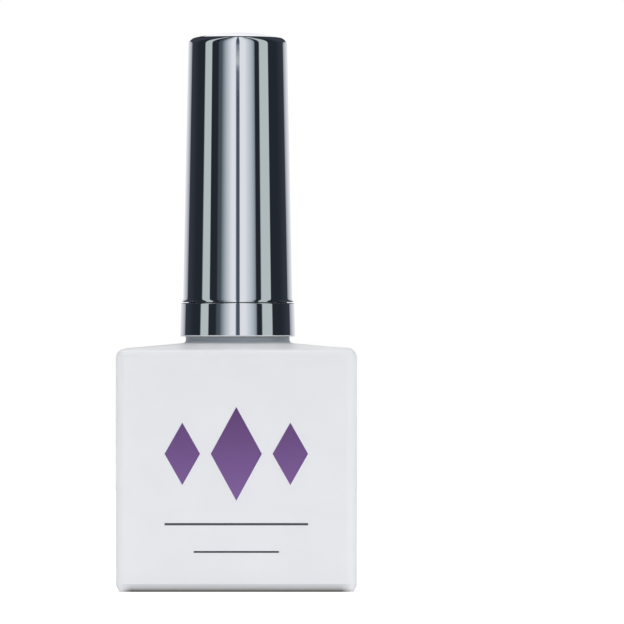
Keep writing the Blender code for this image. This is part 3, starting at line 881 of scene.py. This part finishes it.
def skirt_profile():
    """Round the skirt's mouth, up past the flange and the snap groove, and over the tower."""
    groove_low = SNAP_HEIGHT - SNAP_GROOVE_HALF
    groove_high = SNAP_HEIGHT + SNAP_GROOVE_HALF
    return rounded([
        (SKIRT_BORE, SKIRT_WALL_BOTTOM + EASED, 0),
        (SKIRT_BORE + SKIRT_LEAD_IN, SKIRT_BOTTOM, CRISP),
        (FLANGE_RADIUS, SKIRT_BOTTOM, EASED),
        (FLANGE_RADIUS, FLANGE_TOP, CRISP),
        (SKIRT_RADIUS_LOW, FLANGE_TOP, EASED),
        (SKIRT_RADIUS_HIGH, groove_low, TIGHT),
        (SNAP_GROOVE_RADIUS, groove_low, TIGHT),
        (SNAP_GROOVE_RADIUS, groove_high, TIGHT),
        (SKIRT_RADIUS_HIGH, groove_high, TIGHT),
        (SNAP_GROOVE_RADIUS, PLATE_TOP, EASED),
        (TOWER_RADIUS, PLATE_TOP, SOFT),
        (TOWER_TIP_RADIUS, TOWER_TOP, SOFT),
        (TOWER_TIP_RADIUS / 2, TOWER_TOP, 0),
    ])[1:]


def inner_cap():
    """Thread skirt, post and socket for the stem, tower and driving fins, in one moulding."""
    wall = threaded_wall(
        SKIRT_BORE, SKIRT_CREST, SKIRT_WALL_BOTTOM, SKIRT_WALL_TOP, CAP_THREAD_START, EVEN_ANGLES
    )
    rings = turned(post_profile()) + wall[::-1] + turned(skirt_profile())
    piece = skin("inner_cap_moulding", rings)
    fins = [
        radial_block(FIN_INNER, FIN_OUTER, 0.0, FIN_WIDTH, PLATE_TOP - BLEND, FIN_TOP, turn)
        for turn in FIN_TURNS
    ]
    join_blocks(piece, fins)
    settle(piece, "cap", "inner_plastic", "inner_cap", moulded_plastic())


def shell_radius(height):
    """The shell's outer radius along its straight taper."""
    share = (height - FLARE_TOP) / (SHELL_CORNER_START - FLARE_TOP)
    return SHELL_RADIUS_LOW + (SHELL_RADIUS_HIGH - SHELL_RADIUS_LOW) * share


def shell_outside():
    """Up from the foot through the concave flare and the taper, round the corner, over the crown."""
    profile = arc(SHELL_RADIUS_LOW + FLARE_RADIUS, FLARE_TOP, FLARE_RADIUS, 180 + FLARE_TURN, 180)
    for step in range(1, TAPER_STEPS):
        height = FLARE_TOP + (SHELL_CORNER_START - FLARE_TOP) * (step / TAPER_STEPS)
        profile.append((shell_radius(height), height))
    corner_middle = SHELL_RADIUS_HIGH - SHELL_CORNER
    profile += arc(
        corner_middle, SHELL_CORNER_START, SHELL_CORNER, 0, 90 - CROWN_SLOPE, SHELL_CORNER_STEPS
    )
    crown_radius, crown_foot = profile[-1]
    for step in range(1, CROWN_STEPS):
        share = 1 - step / CROWN_STEPS
        profile.append((crown_radius * share, crown_foot + (SHELL_TOP - crown_foot) * (1 - share ** 2)))
    return profile


def shell_inside():
    """From the ceiling down the wall, over the snap bead, to the open foot."""
    bead_low = SNAP_HEIGHT - SNAP_BEAD_HALF
    bead_high = SNAP_HEIGHT + SNAP_BEAD_HALF
    wall_high = shell_radius(SHELL_CEILING) - SHELL_WALL
    wall_low = shell_radius(SHELL_BOTTOM) - SHELL_WALL
    return rounded([
        (wall_high / 2, SHELL_CEILING, 0),
        (wall_high, SHELL_CEILING, SHELL_CEILING_ROUND),
        (shell_radius(bead_high) - SHELL_WALL, bead_high, EASED),
        (SNAP_BEAD_RADIUS, SNAP_HEIGHT, EASED),
        (shell_radius(bead_low) - SHELL_WALL, bead_low, EASED),
        (wall_low, SHELL_BOTTOM, 0),
    ])


def cap_shell(finish):
    """The tall outer shell, with a pair of ribs inside it for each fin of the inner cap."""
    profile = shell_inside() + shell_outside()
    # The foot comes down to close its side of the seam.
    profile = [(r, z - SEAM_CLOSED if z < SHELL_BOTTOM + SEAM_CLOSED else z) for r, z in profile]
    piece = skin("cap_shell_mirror", turned(profile))
    offset = (FIN_WIDTH + RIB_WIDTH) / 2 + RIB_PLAY
    ribs = [
        radial_block(RIB_INNER, RIB_OUTER, side * offset, RIB_WIDTH, RIB_BOTTOM, RIB_TOP, turn)
        for turn in FIN_TURNS
        for side in (-1, 1)
    ]
    join_blocks(piece, ribs)
    settle(piece, "cap", "mirror_shell", "cap_shell", finish)


def cap_collar(finish):
    """The ring at the foot of the cap, with a recess for the inner cap's flange."""
    seat = FLANGE_TOP + COLLAR_PLAY
    recess = FLANGE_RADIUS + COLLAR_PLAY
    profile = rounded([
        (COLLAR_RADIUS_LOW, COLLAR_BOTTOM, COLLAR_EDGE),
        (COLLAR_RADIUS_HIGH, COLLAR_TOP + SEAM_CLOSED, COLLAR_EDGE),
        (COLLAR_BORE, COLLAR_TOP + SEAM_CLOSED, EASED),
        (COLLAR_BORE, seat, EASED),
        (recess, seat, TIGHT),
        (recess, COLLAR_BOTTOM, EASED),
    ], closed=True, steps=ARC_STEPS)
    piece = skin("cap_collar_mirror", turned(profile), closed=True)
    settle(piece, "cap", "mirror_collar", "cap_collar", finish)


def brush_stem():
    """The stem with its head, stop, tapered ferrule and bristle pocket."""
    taper_foot = STOP_TOP - STOP_HEIGHT - (STOP_RADIUS - STEM_RADIUS)
    profile = rounded([
        (POCKET_RADIUS / 2, POCKET_TOP, 0),
        (POCKET_RADIUS, POCKET_TOP, POCKET_ROUND),
        (POCKET_RADIUS, STEM_TIP, EASED),
        (FERRULE_RADIUS, STEM_TIP, STEM_END_ROUND),
        (FERRULE_RADIUS, FERRULE_TOP, TAPER_ROUND),
        (STEM_RADIUS, FERRULE_TOP + FERRULE_TAPER, TAPER_ROUND),
        (STEM_RADIUS, taper_foot, SOFT),
        (STOP_RADIUS, STOP_TOP - STOP_HEIGHT, EASED),
        (STOP_RADIUS, STOP_TOP, EASED),
        (HEAD_RADIUS, STOP_TOP, EASED),
        (HEAD_RADIUS, HEAD_TOP, STEM_END_ROUND),
        (HEAD_RADIUS / 2, HEAD_TOP, 0),
    ])
    finish = wetted(
        "black_plastic", (0.03, 0.03, 0.03), roughness=0.28,
        wet_top=POLISH_LEVEL, ragged=0.5 * MM, grain=0.6 * MM,
    )
    settle(skin("brush_stem_black", turned(profile)), "cap", "stem_plastic", "brush_stem", finish)


def tuft_radius(share):
    """The bundle's radius from the stem's tip, at 0, to the ends of the outer bristles, at 1."""
    swell = sin(pi / 2 * min(1.0, share / TUFT_BELLY_AT))
    narrow = max(0.0, (share - TUFT_BELLY_AT) / (1 - TUFT_BELLY_AT))
    return TUFT_ROOT + (TUFT_BELLY - TUFT_ROOT) * swell - TUFT_NARROWING * narrow ** 2


def filament(spread_out, around, length_share, chance):
    """One bristle's points, as rings of a thin tapering tube."""
    rings = []
    wander = chance.uniform(-FILAMENT_WANDER, FILAMENT_WANDER)
    for station in range(STATIONS + 1):
        share = length_share * station / STATIONS
        reach = spread_out * (tuft_radius(share) - FILAMENT_RADIUS)
        turn = around + wander * share
        height = STEM_TIP - (STEM_TIP - TUFT_TIP) * share
        middle = Vector((reach * cos(turn), reach * sin(turn), height))
        thick = FILAMENT_RADIUS * (1.0 - FILAMENT_TAPER * max(0.0, share - FILAMENT_TAPER_FROM))
        rings.append([
            (middle.x + thick * cos(a), middle.y + thick * sin(a), middle.z)
            for a in (2 * pi * side / TUBE_SIDES for side in range(TUBE_SIDES))
        ])
    root = [(x, y, ANCHOR_TOP + FILAMENT_LOOP) for x, y, _ in rings[0]]
    return [root] + rings


def bristles():
    """Separate nylon filaments, packed evenly and trimmed to a rounded end."""
    chance = Random(TUFT_SEED)
    points = []
    faces = []
    for k in range(FILAMENTS):
        spread_out = sqrt((k + 0.5) / FILAMENTS)
        length = 1.0 - TUFT_DOME * spread_out ** 4 - chance.uniform(0.0, TUFT_UNEVEN)
        rings = filament(spread_out, k * GOLDEN_ANGLE, length, chance)
        start = len(points)
        points += [point for ring in rings for point in ring]
        for n in range(len(rings) - 1):
            for side in range(TUBE_SIDES):
                after = (side + 1) % TUBE_SIDES
                here = start + n * TUBE_SIDES
                there = here + TUBE_SIDES
                faces.append((here + side, there + side, there + after, here + after))
        faces.append(tuple(start + side for side in range(TUBE_SIDES)))
        tip = start + (len(rings) - 1) * TUBE_SIDES
        faces.append(tuple(tip + side for side in reversed(range(TUBE_SIDES))))
    piece = new_piece("bristle_filaments", points, faces)
    finish = wetted(
        "nylon", (0.10, 0.08, 0.07), roughness=0.35,
        wet_top=STEM_TIP - 2.2 * MM, ragged=1.2 * MM, grain=0.3 * MM,
    )
    settle(piece, "cap", "bristles", "bristle_tuft", finish)


def flat_print(name, outlines, finish):
    """Ink areas on the front face, each a flat outline of (right, height) points."""
    mesh = bmesh.new()
    front = -BODY_HALF - PRINT_THICKNESS
    for outline in outlines:
        near = [mesh.verts.new((x, front, z)) for x, z in outline]
        far = [mesh.verts.new((x, -BODY_HALF + PRINT_BURIED, z)) for x, z in outline]
        mesh.faces.new(near)
        mesh.faces.new(list(reversed(far)))
        for k in range(len(outline)):
            after = (k + 1) % len(outline)
            mesh.faces.new((near[k], far[k], far[after], near[after]))
    bmesh.ops.recalc_face_normals(mesh, faces=mesh.faces)
    settle(place(name, mesh_data(name, mesh)), "bottle", "lacquered_glass", None, finish)


def shaped(corners, middle, height, half_width, half_height):
    """A shape's corners, stretched and put in their place on the front."""
    return [(middle + half_width * x, height + half_height * z) for x, z in corners]


def front_print():
    """A plain row of diamonds over two rules, which stands where the maker's print would be."""
    purple = ink("purple_ink", *PURPLE, ROW - TALLEST, ROW + TALLEST)
    flat_print("front_print_diamonds", [shaped(DIAMOND, *sizes) for sizes in DIAMONDS], purple)
    charcoal = ink("charcoal_ink", *CHARCOAL, *RULE_SPAN)
    flat_print("front_print_rules", [shaped(BAR, *sizes) for sizes in RULES], charcoal)


def repaint(node, finish):
    """A CAD node whose shape is right, in a better material."""
    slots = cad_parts[node].data.materials
    slots.clear()
    slots.append(finish)


# Studio


DARK = (0.018, 0.023, 0.031)
SLATE = (0.040, 0.046, 0.062)
DUSK = (0.066, 0.084, 0.104)
SMOKE = (0.25, 0.29, 0.33)
MIST = (0.44, 0.49, 0.54)
GREEN_GREY = (0.49, 0.550, 0.555)
PALE = (0.785, 0.800, 0.850)
NAVY = (0.070, 0.088, 0.130)
WHITE = (1.0, 1.0, 1.02)
PLAIN_WHITE = (1.0, 1.0, 1.0, 1.0)
LAVENDER = (0.88, 0.88, 0.94)

# Upright bands of light and dark round the front, as (degrees, colour). The degrees say which way
# the cap's side faces, to the right of the camera, where it mirrors that place towards the camera.
BANDS = [
    (-66.0, SLATE), (-50.0, DARK), (-40.3, DARK),
    (-39.8, GREEN_GREY), (-30.8, GREEN_GREY),
    (-30.3, DARK), (-22.6, DARK), (-20.8, DUSK), (-18.2, DUSK),
    (-12.0, MIST), (-6.0, PALE), (-1.7, PALE), (-1.3, NAVY), (2.1, NAVY),
    (2.5, PALE), (8.0, PALE), (16.0, MIST), (19.4, SMOKE),
    (20.2, DARK), (25.6, DARK),
    (26.1, GREEN_GREY), (37.3, GREEN_GREY),
    (37.8, DARK), (50.0, DARK), (66.0, SLATE),
]
# The bright strips beyond them at either side, as (share of the way from the edge to 90 degrees,
# colour). They narrow as the surface turns up.
SIDE_EDGE = 65.7  # degrees
SIDE_WIDTH = 90.0 - SIDE_EDGE
SIDE_STRIP = [
    (0.0, SLATE), (0.05, (0.33, 0.34, 0.38)), (0.2, (0.50, 0.51, 0.55)), (0.45, (0.70, 0.71, 0.75)),
    (1.0, (0.90, 0.91, 0.94)),
]
# What changes as the surface turns up, in degrees of tilt
STRIP_END = 40.0  # where the side strips are gone
CURL_TILT = 49.0  # where the bands are half as far from the middle
CEILING_FADE = (57.5, 60.5)  # from the bands to the dark ceiling
BACKDROP_FADE = (74.8, 76.2)  # from the ceiling to the white backdrop
DIM_FADE = (79.0, 84.0)  # from the backdrop to its dimmer part
LINE_GAP = (2.294, 2.353)  # between which the thin centre line is broken
LATE = 4.0  # power that makes a change set in near its end
LINE_REACH = 4.0  # degrees across, beyond the centre line's edges
BACKDROP_SIDES = (60.0, 85.0)  # degrees across, over which the backdrop dims

# Soft boxes, as (name, place, width, power), in metres and watts
SOFT_BOXES = [
    ("key_above", (0.0, -0.35, 1.2), 1.2, 1.4),
    ("top_left", (-0.55, -0.15, 0.85), 0.6, 2.0),
    ("fill_left", (-0.8, -0.5, 0.35), 0.8, 0.14),
    ("top_right", (0.55, -0.15, 0.85), 0.6, 2.0),
    ("fill_right", (0.8, -0.5, 0.35), 0.8, 0.54),
    ("back_above", (0.0, 0.25, 0.95), 0.8, 4.3),
]
LIT_POINT = Vector((0.0, 0.0, 0.03))  # what they are turned to


def bearing(tree, x, y):
    """Degrees that a direction lies round to the right of straight towards the camera."""
    towards = calc(tree, "MULTIPLY", y, -1.0)
    return calc(tree, "DEGREES", calc(tree, "ARCTAN2", x, towards))


def mirrored_side(tree):
    """Which way a surface faces, in degrees across and up, where it mirrors each point of the sky.

    A point below the horizon goes by half of its own bearing. On the horizon the two are the same.
    """
    point = tree.nodes.new("ShaderNodeTexCoord").outputs["Generated"]
    halfway = calc(tree, "SUBTRACT", point, (0.0, 1.0, 0.0), kind="ShaderNodeVectorMath")
    x, y, z = split(tree, calc(tree, "NORMALIZE", halfway, kind="ShaderNodeVectorMath"))
    across = bearing(tree, x, y)
    tilt = calc(tree, "DEGREES", calc(tree, "ARCSINE", z))
    below = calc(tree, "LESS_THAN", tilt, 0.0)
    half_bearing = calc(tree, "MULTIPLY", bearing(tree, *split(tree, point)[:2]), 0.5)
    change = calc(tree, "SUBTRACT", half_bearing, across)
    return calc(tree, "MULTIPLY_ADD", below, change, across), tilt


def late_share(tree, tilt, end):
    """0 up to the horizon and 1 where the tilt reaches the end, with most of the rise near there."""
    share = calc(tree, "DIVIDE", calc(tree, "MAXIMUM", tilt, 0.0), end)
    return calc(tree, "POWER", share, LATE)


def band_colour(tree, across, tilt):
    """The upright bands, which curl towards the middle as the surface turns up."""
    curled = calc(tree, "MULTIPLY_ADD", across, late_share(tree, tilt, CURL_TILT), across)
    share = calc(tree, "ADD", calc(tree, "DIVIDE", curled, 180.0), 0.5)
    return colour_ramp(tree, share, [((angle + 90.0) / 180.0, colour) for angle, colour in BANDS])


def add_side_strips(tree, across, tilt, colour):
    """The bright strips over what lies past the bands' edges."""
    edge = calc(tree, "MULTIPLY_ADD", late_share(tree, tilt, STRIP_END), SIDE_WIDTH, SIDE_EDGE)
    past = calc(tree, "SUBTRACT", calc(tree, "ABSOLUTE", across), edge)
    strip = colour_ramp(tree, calc(tree, "DIVIDE", past, SIDE_WIDTH), SIDE_STRIP)
    return tint(tree, calc(tree, "GREATER_THAN", past, 0.0), colour, strip)


def add_line_gap(tree, across, tilt, colour):
    """A pale break in the thin line down the middle."""
    middle = calc(tree, "LESS_THAN", calc(tree, "ABSOLUTE", across), LINE_REACH)
    above = calc(tree, "GREATER_THAN", tilt, LINE_GAP[0])
    under = calc(tree, "LESS_THAN", tilt, LINE_GAP[1])
    gap = calc(tree, "MULTIPLY", middle, calc(tree, "MULTIPLY", above, under))
    return tint(tree, gap, colour, PALE)


def studio_colour(tree):
    """Soft boxes and black cards in front, side strips, and a white backdrop from above to behind."""
    across, tilt = mirrored_side(tree)
    colour = band_colour(tree, across, tilt)
    colour = add_side_strips(tree, across, tilt, colour)
    colour = add_line_gap(tree, across, tilt, colour)
    backdrop = mottle(tree, calc(tree, "ABSOLUTE", across), (WHITE, LAVENDER), *BACKDROP_SIDES)
    for fade, zone in ((CEILING_FADE, DARK), (BACKDROP_FADE, backdrop), (DIM_FADE, LAVENDER)):
        colour = tint(tree, spread(tree, tilt, 0.0, 1.0, *fade), colour, zone)
    return colour


def studio_world():
    """The surroundings that the object mirrors and is lit by. The camera sees plain white."""
    world = bpy.data.worlds.new("studio")
    bpy.context.scene.world = world
    world.use_nodes = True
    tree = world.node_tree
    tree.nodes.clear()
    lit = tree.nodes.new("ShaderNodeBackground")
    tree.links.new(studio_colour(tree), lit.inputs["Color"])
    plain = tree.nodes.new("ShaderNodeBackground")
    fill(plain, {"Color": PLAIN_WHITE})
    path = tree.nodes.new("ShaderNodeLightPath")
    choose = tree.nodes.new("ShaderNodeMixShader")
    shown = (path.outputs["Is Camera Ray"], lit.outputs[0], plain.outputs[0])
    for socket, value in zip(choose.inputs, shown):
        tree.links.new(value, socket)
    output = tree.nodes.new("ShaderNodeOutputWorld")
    tree.links.new(choose.outputs[0], output.inputs["Surface"])


def soft_box(name, position, width, power):
    """A soft light on the object that no mirror shows."""
    data = bpy.data.lights.new(name, "AREA")
    data.size = width
    data.energy = power
    light = place(name, data)
    light.location = position
    aim = LIT_POINT - Vector(position)
    light.rotation_euler = aim.to_track_quat("-Z", "Y").to_euler()
    light.visible_glossy = False
    light.visible_camera = False


def floor():
    """A pale floor, bright enough by itself to run into the plain surround without an edge.

    Mirrors don't show it. They show the bands carried on below the horizon.
    """
    mesh = bmesh.new()
    bmesh.ops.create_circle(mesh, cap_ends=True, radius=FLOOR_RADIUS, segments=FLOOR_SIDES)
    piece = place("studio_floor", mesh_data("studio_floor", mesh))
    made, _, shader = new_material("floor_white", FLOOR_COLOUR, roughness=0.9)
    fill(shader, {"Emission Color": PLAIN_WHITE, "Emission Strength": FLOOR_GLOW})
    fill(shader, {"Specular IOR Level": 0.0})
    piece.data.materials.append(made)
    piece.visible_glossy = False


def camera():
    """Level, square to the front face, and to the right of the bottle's middle."""
    data = bpy.data.cameras.new("photo_view")
    data.sensor_width = SENSOR
    data.lens = SENSOR * CAMERA_TO_FACE / FACE_VIEW_WIDTH
    data.clip_end = CAMERA_REACH
    piece = place("photo_view", data)
    piece.location = (CAMERA_RIGHT, -BODY_HALF - CAMERA_TO_FACE, CAMERA_HEIGHT)
    piece.rotation_euler = (pi / 2, 0.0, 0.0)
    bpy.context.scene.camera = piece


def studio():
    bpy.context.scene.view_settings.view_transform = "Standard"
    studio_world()
    floor()
    for box in SOFT_BOXES:
        soft_box(*box)


def main():
    camera()
    bottle()
    polish_in_bottle()
    front_print()
    inner_cap()
    cap_shell(mirror("mirror_shell"))
    cap_collar(mirror("mirror_collar"))
    brush_stem()
    bristles()
    repaint("liner_foam", foam())
    repaint("liner_film", film())
    repaint("base_label", paper())
    repaint("brush_anchor", brass())
    studio()


main()
